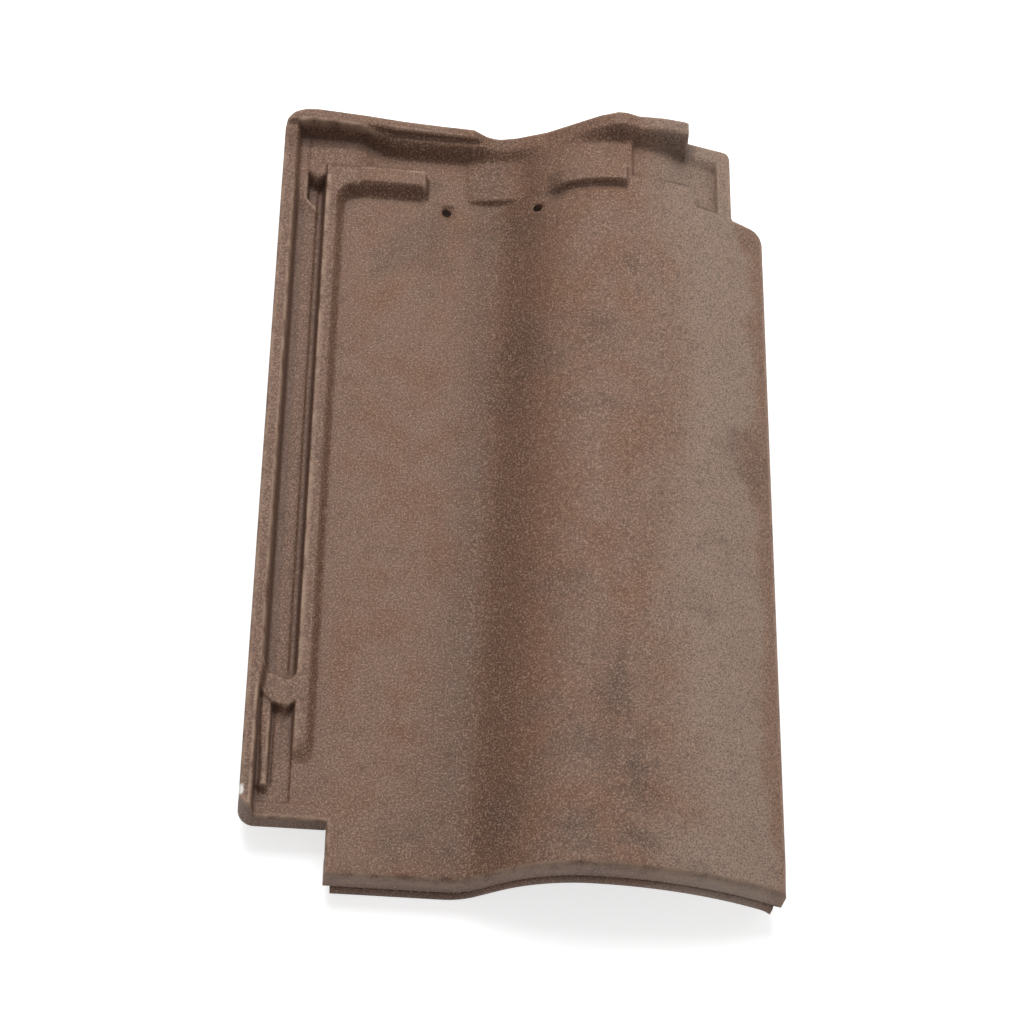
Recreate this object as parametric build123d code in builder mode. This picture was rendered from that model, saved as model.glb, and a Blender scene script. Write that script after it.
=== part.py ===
"""Interlocking roof tile of pressed clay: a flat pan, a side roll that ends in a cover flap,
a channelled side lock on the left and a raised head lock. It lies on its nibs and tail nose."""
import math
import os

from build123d import *

# Overall size: x runs across the roof, y up the roof towards the head, z out of the roof
tile_width = 260.0
tile_length = 428.0

# Waved shell: flat pan, hollow valley, straight rise, steep near side and long far side of the roll
pan_level = 26.0
shell_thickness = 10.0
roll_span = 161.0
valley_radius = 23.0
rise_angle = 42.0
roll_radius = 64.0
wave_height = 31.5
flap_drop = 26.5
flank_taper = 12.0
flap_clearance = 1.0

# Tail nose: thick front edge with a mould parting groove and a shorter lower lip
nose_depth = 26.0
nose_thickness = 12.0
upper_lip_height = 16.5
parting_groove = 1.4
lip_inset = 3.5
pan_left = 42.0

# Side lock along the left edge
lock_tail = 26.0
lock_underside = 14.0
rim_width = 6.0
rim_height = 13.0
rib_height = 5.0
channel_level = 24.5
gutter_depth = 1.5
wall_draft = 4.0
channel_right = 19.5
rib_left = 23.5
rib_width = 5.8
rib_foot = 5.2
channel_tail = 101.0
bridge_length = 13.0
bridge_skew = 6.0
rib_tail = 57.5
strip_tail = 41.0
strip_left = 9.5
strip_width = 4.0
lock_corner_radius = 8.0

# Head lock: rim, raised blocks, ledge, inner ribs and the lowered lap at the right
head_lock_depth = 53.0
cover_corner_radius = 6.0
corner_crossing = 0.1
head_corner_radius = 10.0
head_rim_width = 7.5
head_rim_height = 8.5
head_rim_draft = 4.5
block_height = 5.5
block_width = 5.5
block_past_pan = 5.0
corner_rise = 7.0
roll_block_width = 30.0
lap_width = 26.0
lap_inset = 18.0
lap_drop = 9.0
lap_rim_width = 8.0
lap_rim_drop = 1.5
lap_corner_radius = 4.0
inner_rib_gap = 27.0
inner_rib_width = 8.0
inner_rib_height = 9.5
inner_rib_draft = 5.0
pan_rib_overlap = 8.0
pan_rib_inset = 23.0
roll_rib_offset = 40.0
corner_depth = 37.0
corner_level = 33.0

# Nail holes beside the rib ends
pan_nail_inset = 9.8
pan_nail_gap = 45.0
roll_nail_offset = 37.5
roll_nail_gap = 49.0
nail_hole = 5.0
nail_dish = 9.0
nail_dish_depth = 2.0
nail_wall = 7.0

# Underside: hanging nibs, a sealing rib under the flap and a rib across the pan
nib_length = 30.0
nib_thickness = 14.0
nib_gap = 30.0
pan_nib_offset = 24.0
roll_nib_inset = 60.0
nib_draft = 6.0
seal_rib_inset = 28.5
seal_rib_width = 5.0
seal_rib_gap = 2.5
cross_rib_width = 9.0
cross_rib_depth = 6.0
cross_rib_gap = 98.0

# Places worked out from the sizes
left = -tile_width / 2
tail = -tile_length / 2
pan_right = tile_width - roll_span
block_right = pan_right + block_past_pan
lap_right = tile_width - lap_inset
roll_block_right = lap_right - lap_width
roll_block_left = roll_block_right - roll_block_width
pan_rib_left = pan_left - pan_rib_overlap
pan_rib_right = pan_right - pan_rib_inset
roll_rib_left = pan_right + roll_rib_offset
seal_rib_x = tile_width - seal_rib_inset
cover_head = tile_length - head_lock_depth
inner_rib_head = tile_length - inner_rib_gap
pit_head = tile_length - corner_depth
nib_y = tile_length - nib_gap
cross_rib_y = tile_length - cross_rib_gap
roll_nail_x = pan_right + roll_nail_offset
roll_nail_y = tile_length - roll_nail_gap
rise = math.radians(rise_angle)
arc_rise = (valley_radius + roll_radius) * (1 - math.cos(rise))
rise_length = (wave_height - arc_rise) / math.sin(rise)
flank_width = (valley_radius + roll_radius) * math.sin(rise) + rise_length * math.cos(rise)
crown_level = pan_level + wave_height
rim_level = pan_level + rim_height
rib_level = pan_level + rib_height
head_rim_rise = head_rim_height + block_height
tall = 4 * (crown_level + head_rim_rise)


def section(y):
    """Plane across the tile at a distance y from the tail, drawn as seen from the tail."""
    return Plane(origin=(0, tail + y, 0), x_dir=(1, 0, 0), z_dir=(0, -1, 0))


def flank_start(y):
    """Right end of the flat pan, which moves to the right towards the head as the roll narrows."""
    return pan_right + flank_taper * y / tile_length


def far_side(y):
    """Angle and radius of the long arc from the crown to the edge of the flap."""
    reach = tile_width - flank_start(y) - flank_width
    angle = 2 * math.degrees(math.atan2(flap_drop, reach))
    return angle, reach / math.sin(math.radians(angle))


def roll_height(x, y):
    """Height of the near arc of the roll at a place on it."""
    from_crown = flank_start(y) + flank_width - x
    return crown_level - roll_radius + math.sqrt(roll_radius**2 - from_crown**2)


def wave(y, offset, drop):
    """The five stretches of the wave, set off square to the surface and then dropped."""
    flap_angle, far_radius = far_side(y)
    start = (left + pan_left - tile_width, pan_level + offset - drop)
    pan = Line(start, (left + flank_start(y), pan_level + offset - drop))
    valley = JernArc(start=pan @ 1, tangent=pan % 1, radius=valley_radius - offset, arc_size=rise_angle)
    slope = PolarLine(start=valley @ 1, length=rise_length, direction=valley % 1)
    near = JernArc(start=slope @ 1, tangent=slope % 1, radius=roll_radius + offset, arc_size=-rise_angle)
    far = JernArc(start=near @ 1, tangent=near % 1, radius=far_radius + offset, arc_size=-flap_angle)
    return pan @ 0, far @ 1


def wave_band(y, x_from, x_to, top=0.0, bottom=0.0, top_drop=0.0, bottom_drop=0.0):
    """Cross section between two wave lines, cut to a span of x measured from the left edge."""
    with BuildSketch(section(y)) as band:
        with BuildLine():
            upper = wave(y, top, top_drop)
            lower = wave(y, -bottom, bottom_drop)
            Line(upper[0], lower[0])
            Line(upper[1], lower[1])
        make_face()
        with Locations((left + (x_from + x_to) / 2, crown_level / 2)):
            Rectangle(x_to - x_from, tall, mode=Mode.INTERSECT)
    return band.sketch


def outline(y, *points):
    """Closed straight-sided cross section at y, its points as x from the left edge and z."""
    with BuildSketch(section(y)) as shape:
        with BuildLine():
            Polyline(*[(left + x, z) for x, z in points], close=True)
        make_face()
    return shape.sketch


def plan(z, *points):
    """Closed plan outline at height z, its points as x from the left edge and y from the tail."""
    with BuildSketch(Plane.XY.offset(z)) as shape:
        with BuildLine():
            Polyline(*[(left + x, tail + y) for x, y in points], close=True)
        make_face()
    return shape.sketch


def side_view(x, *points):
    """Closed outline seen from the right at x from the left edge, its points as y and z."""
    with BuildSketch(Plane(origin=(left + x, 0, 0), x_dir=(0, 1, 0), z_dir=(1, 0, 0))) as shape:
        with BuildLine():
            Polyline(*[(tail + y, z) for y, z in points], close=True)
        make_face()
    return shape.sketch


with BuildPart() as verge_tile:
    # Waved shell from tail to head, its near flank running slightly askew
    loft(
        [
            wave_band(0, pan_left, tile_width, bottom=shell_thickness),
            wave_band(tile_length, pan_left, tile_width, bottom=shell_thickness),
        ],
        ruled=True,
    )
    # At the head the cover stops short, and the roll ends at the lowered lap
    extrude(
        plan(
            0,
            (roll_block_right, cover_head),
            (tile_width + 1, cover_head),
            (tile_width + 1, tile_length + 1),
            (roll_block_right, tile_length + 1),
        ),
        amount=tall,
        mode=Mode.SUBTRACT,
    )
    # Flap edge trimmed level just above the pan of the next tile, behind the tail nose
    extrude(
        outline(
            nose_thickness,
            (seal_rib_x, 0),
            (tile_width + 1, 0),
            (tile_width + 1, pan_level + flap_clearance),
            (seal_rib_x, pan_level + flap_clearance),
        ),
        amount=-(tile_length - nose_thickness),
        mode=Mode.SUBTRACT,
    )
    # Tail nose: upper lip over the whole width, lower lip a little shorter at both ends
    lip_left = pan_left + lip_inset
    lip_right = tile_width - lip_inset
    groove_top = upper_lip_height - parting_groove
    half_shell = shell_thickness / 2
    extrude(
        wave_band(0, pan_left, tile_width, top_drop=half_shell, bottom_drop=groove_top),
        amount=-nose_thickness,
    )
    extrude(
        wave_band(parting_groove, lip_left, lip_right, top_drop=half_shell, bottom_drop=nose_depth),
        amount=-(nose_thickness - parting_groove),
    )
    extrude(
        wave_band(0, lip_left, lip_right, top_drop=upper_lip_height, bottom_drop=nose_depth),
        amount=-nose_thickness,
    )

    # Lowered lap at the right of the head: channel beside the roll and a rim along its edge
    extrude(
        wave_band(cover_head, roll_block_right, lap_right, top=-lap_drop, bottom=lap_drop + shell_thickness * 0.7),
        amount=-(tile_length - cover_head),
    )
    extrude(
        wave_band(
            cover_head - nose_thickness,
            lap_right - lap_rim_width,
            lap_right,
            top=-lap_rim_drop,
            bottom=lap_drop + shell_thickness * 0.7,
        ),
        amount=-(tile_length - cover_head + nose_thickness),
    )
    extrude(
        wave_band(
            tile_length - head_rim_width,
            roll_block_right,
            lap_right,
            top=-lap_rim_drop,
            bottom=lap_drop + shell_thickness * 0.7,
        ),
        amount=-head_rim_width,
    )

    # Side lock: rim, channel, gutter groove and inner rib in one section
    extrude(
        outline(
            lock_tail,
            (0, lock_underside),
            (0, rim_level),
            (rim_width, rim_level),
            (rim_width + wall_draft, channel_level),
            (channel_right, channel_level),
            (channel_right + gutter_depth, channel_level - gutter_depth),
            (rib_left - gutter_depth / 2, channel_level - gutter_depth),
            (rib_left, rib_level),
            (rib_left + rib_width, rib_level),
            (rib_left + rib_width + rib_foot, pan_level),
            (pan_left + 1, pan_level),
            (pan_left + 1, lock_underside),
        ),
        amount=-(tile_length - lock_tail),
    )
    # The inner rib stops short of the tail, so that the channel drains on to the pan
    extrude(
        plan(
            channel_level,
            (rib_left - gutter_depth, lock_tail),
            (pan_left, lock_tail),
            (pan_left, rib_tail),
            (rib_left - gutter_depth, rib_tail),
        ),
        amount=rim_height,
        mode=Mode.SUBTRACT,
    )
    extrude(
        plan(
            lock_underside,
            (rib_left - 2 * gutter_depth, lock_tail),
            (pan_left, lock_tail),
            (pan_left, rib_tail),
            (rib_left - 2 * gutter_depth, rib_tail),
        ),
        amount=channel_level - lock_underside,
    )
    # Slanted bridge that closes the long channel, and the strip beside the rim below it
    extrude(
        plan(
            lock_underside,
            (rim_width, channel_tail),
            (rib_left + 1, channel_tail - bridge_skew),
            (rib_left + 1, channel_tail - bridge_skew - bridge_length),
            (strip_left + strip_width, channel_tail - bridge_length),
            (strip_left + strip_width, strip_tail),
            (strip_left, strip_tail),
            (strip_left, channel_tail - bridge_length),
            (rim_width, channel_tail - bridge_length),
        ),
        amount=rib_level - lock_underside,
    )

    # Head corner: raised floor that ends the channel in a pit
    extrude(
        plan(
            lock_underside,
            (0, pit_head),
            (pan_left, pit_head),
            (pan_left, tile_length),
            (0, tile_length),
        ),
        amount=corner_level - lock_underside,
    )
    # Head rim with a sloping inner wall, carried over the wave
    head_foot = tile_length - head_rim_width - head_rim_draft
    extrude(
        wave_band(head_foot, pan_left, roll_block_right, top=head_rim_height, bottom=1),
        amount=-(tile_length - head_foot),
    )
    extrude(
        wave_band(tile_length - block_width, pan_left, block_right, top=head_rim_rise, bottom=1),
        amount=-block_width,
    )
    extrude(
        wave_band(head_foot, roll_block_left, roll_block_right, top=head_rim_rise, bottom=1),
        amount=-(tile_length - head_foot),
    )
    # Side rim and head block rise to the left corner
    extrude(
        side_view(
            0,
            (pit_head, lock_underside),
            (pit_head, rim_level),
            (head_foot, rim_level + corner_rise),
            (tile_length, rim_level + corner_rise),
            (tile_length, lock_underside),
        ),
        amount=rim_width,
    )
    extrude(
        outline(
            tile_length - head_rim_width,
            (0, lock_underside),
            (0, rim_level + corner_rise),
            (pan_left, pan_level + head_rim_rise + corner_rise / 2),
            (block_right, pan_level + head_rim_rise),
            (block_right, pan_level),
            (pan_left, pan_level - 1),
            (pan_left, lock_underside),
        ),
        amount=-head_rim_width,
    )

    # Inner ribs of the head lock: one across the pan, one over the roll
    extrude(
        side_view(
            pan_rib_left,
            (inner_rib_head, pan_level - 1),
            (inner_rib_head, pan_level + inner_rib_height),
            (inner_rib_head - inner_rib_width, pan_level + inner_rib_height),
            (inner_rib_head - inner_rib_width - inner_rib_draft, pan_level - 1),
        ),
        amount=pan_rib_right - pan_rib_left,
    )
    extrude(
        wave_band(
            inner_rib_head - inner_rib_width - inner_rib_draft,
            roll_rib_left,
            roll_block_right,
            top=inner_rib_height / 3,
            bottom=1,
        ),
        amount=-(inner_rib_width + inner_rib_draft / 2),
    )

    # Hanging nibs reach down to the plane of the tail nose
    for nib_x in (pan_left + pan_nib_offset, tile_width - roll_nib_inset):
        nib_top = pan_level - half_shell
        if nib_x > flank_start(nib_y):
            nib_top = crown_level - flap_drop / 2
        extrude(
            side_view(
                nib_x - nib_length / 2,
                (nib_y - nib_thickness / 2, nib_top),
                (nib_y - nib_thickness / 2, 0),
                (nib_y + nib_thickness / 2 - nib_draft / 2, 0),
                (nib_y + nib_thickness / 2 + nib_draft / 2, nib_top),
            ),
            amount=nib_length,
        )
    # Sealing rib under the flap hangs into the channel of the next tile
    extrude(
        outline(
            nose_thickness,
            (seal_rib_x - seal_rib_width / 2, channel_level + seal_rib_gap),
            (seal_rib_x + seal_rib_width / 2, channel_level + seal_rib_gap),
            (seal_rib_x + seal_rib_width / 2, crown_level - flap_drop / 2 - shell_thickness / 2),
            (seal_rib_x - seal_rib_width / 2, crown_level - flap_drop / 2 - shell_thickness / 2),
        ),
        amount=-(cover_head - nose_thickness),
    )
    # Shallow rib across the underside stiffens the shell
    extrude(
        wave_band(
            cross_rib_y,
            pan_left,
            seal_rib_x,
            top=-1 - shell_thickness / 2,
            bottom=shell_thickness + cross_rib_depth,
        ),
        amount=-cross_rib_width,
    )

    # Plan corners rounded at the side lock, the head and the cover; each arc crosses the sides just short of tangent
    for x, y, side_x, side_y, radius in (
        (0, lock_tail, 1, 1, lock_corner_radius),
        (0, tile_length, 1, -1, head_corner_radius),
        (lap_right, tile_length, -1, -1, lap_corner_radius),
        (tile_width, cover_head, -1, -1, cover_corner_radius),
    ):
        with BuildSketch(Plane.XY) as corner:
            with Locations((left + x, tail + y)):
                Rectangle(2 * radius, 2 * radius)
            centre = radius - corner_crossing
            with Locations((left + x + side_x * centre, tail + y + side_y * centre)):
                Circle(radius, mode=Mode.SUBTRACT)
        extrude(corner.sketch, amount=tall, mode=Mode.SUBTRACT)
    # Nail holes with a shallow dish above and a flat seat below, so their walls are equally long
    for x, y, z in (
        (pan_right - pan_nail_inset, tile_length - pan_nail_gap, pan_level),
        (roll_nail_x, roll_nail_y, roll_height(roll_nail_x, roll_nail_y)),
    ):
        with BuildSketch(Plane.XY.offset(z - 2 * shell_thickness)) as bore:
            with Locations((left + x, tail + y)):
                Circle(nail_hole / 2)
        extrude(bore.sketch, amount=4 * shell_thickness, mode=Mode.SUBTRACT)
        with BuildSketch(Plane.XY.offset(z - nail_dish_depth)) as dish:
            with Locations((left + x, tail + y)):
                Circle(nail_dish / 2)
        extrude(dish.sketch, amount=shell_thickness, mode=Mode.SUBTRACT)
        with BuildSketch(Plane.XY.offset(z - nail_dish_depth - nail_wall)) as seat:
            with Locations((left + x, tail + y)):
                Circle(nail_dish / 2)
        extrude(seat.sketch, amount=-2 * shell_thickness, mode=Mode.SUBTRACT)

verge_tile.part.label = "verge_tile"

os.makedirs("parts", exist_ok=True)
export_step(verge_tile.part, "parts/verge_tile.step")
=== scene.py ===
"""Looks for an interlocking clay roof tile: one pressed and fired piece with a sprayed brown engobe.

The whole skin of the tile is one closed surface: an upper face, an underside and the walls between
them. All sizes are millimetres, x from the left edge, y from the tail and z from the floor, until
the mesh is made.
"""
import logging
import math
from dataclasses import dataclass, field
from enum import Enum

import bpy
import numpy as np
from mathutils import Matrix, Vector


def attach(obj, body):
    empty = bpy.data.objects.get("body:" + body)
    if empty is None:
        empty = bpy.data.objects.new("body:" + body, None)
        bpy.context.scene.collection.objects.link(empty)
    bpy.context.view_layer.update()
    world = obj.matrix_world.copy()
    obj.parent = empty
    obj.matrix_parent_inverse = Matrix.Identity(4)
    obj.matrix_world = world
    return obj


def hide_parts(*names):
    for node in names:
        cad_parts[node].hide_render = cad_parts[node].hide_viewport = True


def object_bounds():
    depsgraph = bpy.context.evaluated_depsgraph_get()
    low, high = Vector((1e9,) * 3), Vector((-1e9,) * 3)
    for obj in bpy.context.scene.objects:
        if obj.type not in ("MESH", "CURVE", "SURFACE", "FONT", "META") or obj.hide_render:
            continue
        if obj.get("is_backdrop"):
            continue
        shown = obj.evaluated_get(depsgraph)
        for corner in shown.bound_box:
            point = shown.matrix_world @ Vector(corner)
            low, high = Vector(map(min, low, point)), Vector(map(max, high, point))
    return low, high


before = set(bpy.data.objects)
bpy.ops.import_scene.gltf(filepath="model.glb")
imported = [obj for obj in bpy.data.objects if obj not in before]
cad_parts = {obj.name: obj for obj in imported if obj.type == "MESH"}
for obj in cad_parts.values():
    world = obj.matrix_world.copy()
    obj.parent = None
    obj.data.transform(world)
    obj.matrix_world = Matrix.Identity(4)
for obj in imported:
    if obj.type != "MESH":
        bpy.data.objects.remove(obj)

# Places, heights or shares at the points of the skin
Grid = np.ndarray

log = logging.getLogger("verge_tile")

MM = 0.001

# Grid lines closer than this, in millimetres, are thinned out
LINE_GAP = 0.3


def linear(hex_colour: str) -> tuple[float, float, float, float]:
    """Turn an sRGB hex colour into linear light.

    Args:
        hex_colour: six hex digits with a leading number sign.

    Returns:
        Red, green, blue and an alpha of one.
    """
    srgb = np.array([int(hex_colour[i : i + 2], 16) for i in (1, 3, 5)]) / 255
    value = np.where(srgb <= 0.04045, srgb / 12.92, ((srgb + 0.055) / 1.055) ** 2.4)
    return (*[float(v) for v in value], 1.0)


def ramp(value: Grid, start: float, end: float) -> Grid:
    """Smooth step: nought at start, one at end, with level tangents at both.

    Args:
        value: where to evaluate.
        start: value at which the step begins; it may be larger than end.
        end: value at which the step is complete.

    Returns:
        Three t squared minus two t cubed, t being the share of the way from start to end.
    """
    t = np.clip((value - start) / (end - start), 0, 1)
    return t * t * (3 - 2 * t)


def band(value: Grid, low: float, high: float, soft: float) -> Grid:
    """One between low and high, falling smoothly to nought over the soft width outside them."""
    return ramp(value, low - soft, low) * ramp(value, high + soft, high)


@dataclass(frozen=True)
class Wave:
    """The waved section: flat pan, valley arc, straight rise, near arc and long far arc."""

    width: float
    length: float
    pan_level: float = 26.0
    pan_right: float = 99.0
    flank_taper: float = 12.0
    valley_radius: float = 23.0
    rise_angle: float = 42.0
    roll_radius: float = 64.0
    height: float = 31.5
    flap_drop: float = 26.5

    @property
    def crown(self) -> float:
        """Level of the top of the roll."""
        return self.pan_level + self.height

    @property
    def flank(self) -> float:
        """Width of the near side of the roll, from the flat pan to the crown."""
        rise = math.radians(self.rise_angle)
        both = self.valley_radius + self.roll_radius
        straight = (self.height - both * (1 - math.cos(rise))) / math.sin(rise)
        return both * math.sin(rise) + straight * math.cos(rise)

    def surface(self, x: Grid, y: Grid, offset: float = 0.0) -> Grid:
        """Height of the waved face, set off square to itself.

        The distance s from the flat pan picks a stretch: level; pan + valley radius minus the root of
        the radius squared minus s squared; a straight line at the rise angle; and two crown arcs,
        each crown minus radius plus the root of the radius squared minus the distance from the
        crown squared. An offset adds to the crown radii and comes off the valley radius.

        Args:
            x, y: places across and along the tile.
            offset: distance above the face, or below it where negative.

        Returns:
            Heights of the face at those places.
        """
        rise = math.radians(self.rise_angle)
        start = self.pan_right + self.flank_taper * y / self.length
        s = x - start
        inner, outer = self.valley_radius - offset, self.roll_radius + offset
        valley_end, crown_start = inner * math.sin(rise), self.flank - outer * math.sin(rise)
        reach = self.width - start - self.flank
        far = reach / np.sin(2 * np.arctan2(self.flap_drop, reach))
        valley = self.pan_level + self.valley_radius - np.sqrt(np.maximum(inner**2 - s**2, 0))
        valley_top = self.pan_level + self.valley_radius - inner * math.cos(rise)
        slope = valley_top + (s - valley_end) * math.tan(rise)
        from_crown = s - self.flank
        near = self.crown - self.roll_radius + np.sqrt(np.maximum(outer**2 - from_crown**2, 0))
        over = self.crown - far + np.sqrt(np.maximum((far + offset) ** 2 - from_crown**2, 0))
        return np.select(
            [s < 0, s < valley_end, s < crown_start, s < self.flank],
            [np.full_like(s, self.pan_level + offset), valley, slope, near],
            over,
        )


@dataclass(frozen=True)
class SideLock:
    """Channelled lock along the left edge: rim, channel with a groove, and inner rib."""

    tail: float = 26.0
    underside: float = 14.0
    pan_left: float = 42.0

    rim_level: float = 39.0
    rim_top: float = 5.4
    rim_top_growth: float = 0.8
    rim_foot: float = 7.0
    rim_foot_growth: float = 2.8
    rim_head_rise: float = 6.0

    channel_level: float = 24.5
    groove_depth: float = 1.5

    bridge_head: float = 100.5
    bridge_length: float = 13.0
    bridge_slant: float = 0.35
    bridge_slant_from: float = 6.0
    bridge_bow: float = 0.16
    bridge_middle: float = 15.0
    bridge_flat: float = 3.0
    bridge_tail_wall: float = 2.5
    bridge_head_wall: float = 3.5

    strip_left: float = 9.4
    strip_shift: float = 1.2
    strip_left_wall: float = 1.2
    strip_share: float = 0.85
    furrow_depth: float = 1.3
    gutter_rise: float = 2.5

    apron_level: float = 27.0
    apron_edge: float = 34.4
    apron_slant: float = 5.0

    pit_depth: float = 1.5
    pit_left: float = 14.2
    pit_slant: float = 5.5
    pit_head: float = 391.0
    pit_head_bow: float = 3.5
    pit_middle: float = 19.3
    pit_half_width: float = 5.0

    corner_level: float = 33.0

    rib_level: float = 31.0
    rib_head_rise: float = 3.8
    bend_x: float = 40.0
    bend_y: float = 381.0

    def corner_share(self, x: Grid) -> Grid:
        """How far the corner at the head keeps its level, before it runs down to the pan."""
        return ramp(x, 58, 36)

    def past_ribs(self, y: Grid) -> Grid:
        """Share of the stretch at the head beyond the inner ribs."""
        return ramp(y, 400.5, 404)

    def apron(self, x: Grid, y: Grid) -> Grid:
        """Share of the apron at the tail, whose edge slants off beside the pan."""
        edge = self.apron_edge - self.apron_slant * ramp(x, 34, 42)
        return ramp(y - edge, 0.8, -0.8)

    def bridge(self, x: Grid, y: Grid) -> Grid:
        """Share of the slanted bridge that closes the channel, its head wall bowed."""
        bow = np.maximum(np.abs(x - self.bridge_middle) - self.bridge_flat, 0) ** 2
        head = self.bridge_head - self.bridge_slant * (x - self.bridge_slant_from) + self.bridge_bow * bow
        tail = head - self.bridge_length
        return ramp(y, tail - self.bridge_tail_wall, tail) * ramp(y, head + self.bridge_head_wall, head)

    def floor(self, x: Grid, y: Grid) -> Grid:
        """Height of the channel floor.

        Smooth steps take the level down into the groove, the furrow and the pit, and raise it to the
        bridge, the strip, the apron, the corner at the head and the gutter beside the strip.
        """
        groove = ramp(x, 19.0, 20.4) * ramp(x, 23.2, 22.2) * ramp(y, 100, 106)
        floor = self.channel_level - self.groove_depth * groove
        strip_left = self.strip_left - self.strip_shift * ramp(y, 48, 80)
        strip = ramp(x, strip_left - self.strip_left_wall, strip_left)
        strip = strip * ramp(x, 13.2, 12.1) * band(y, 42, 90, 3)
        raised = np.maximum(self.bridge(x, y), self.strip_share * strip)
        floor = floor - self.furrow_depth * band(x, 13.6, 14.2, 0.6) * band(y, 44, 84, 2)
        floor = floor + (self.rib_level - floor) * raised
        floor = floor + (self.apron_level - floor) * self.apron(x, y)

        from_middle = np.abs((x - self.pit_middle) / self.pit_half_width)
        pit_head = self.pit_head + self.pit_head_bow * np.minimum(from_middle**2, 1.0)
        pit_left = self.pit_left + self.pit_slant * ramp(y, 383, 377)
        corner = ramp(y - pit_head, 0, 4) * ramp(x, 13.2, 14.6)
        ledge = ramp(y, 366, 396) * ramp(x - pit_left, 0.7, -0.7)
        floor = floor - self.pit_depth * ramp(y, 376.5, 378.5) * ramp(x - pit_left, -0.4, 0.8)
        floor = floor + (self.corner_level - floor) * np.maximum(corner, ledge)
        return floor + self.gutter_rise * ramp(x - strip_left, 0, -1.5) * band(y, 44, 84, 4)

    def rib(self, x: Grid, y: Grid, pan: float) -> Grid:
        """Height of the inner rib, which turns round a bend at the head into the rib on the pan.

        Its right wall is a smooth step of the distance from the bend's centre, the root of the sum
        of the squares of how far a place lies left of the centre and how far towards the head.
        """
        level = self.rib_level + self.rib_head_rise * ramp(y, 366, 386)
        from_bend = np.hypot(np.maximum(self.bend_x - x, 0), np.maximum(y - self.bend_y, 0))
        rib = pan + (level - pan) * ramp(y, 54, 65) * ramp(from_bend, 5.2, 11.0)
        rib = rib + (self.apron_level - rib) * self.apron(x, y) * ramp(x, 42, 36)
        beyond = pan + (self.corner_level - pan) * self.corner_share(x)
        return rib + (beyond - rib) * self.past_ribs(y)

    def height(self, x: Grid, y: Grid, pan: float) -> Grid:
        """Height of the lock's upper face.

        Smooth steps across x blend the levels of the rim, the channel floor and the inner rib.

        Args:
            x, y: places across and along the tile.
            pan: level of the pan beside the lock.

        Returns:
            Heights of the lock at those places.
        """
        growth = ramp(y, 82, 102)
        rim_top = self.rim_top + self.rim_top_growth * growth
        rim_foot = self.rim_foot + self.rim_foot_growth * growth
        rim_level = self.rim_level + self.rim_head_rise * ramp(y, 404, 422)
        floor = self.floor(x, y)
        left = floor + (rim_level - floor) * ramp(x, rim_foot, rim_top)
        right = ramp(x, 22.9, 24.0)
        return left * (1 - right) + self.rib(x, y, pan) * right


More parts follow.
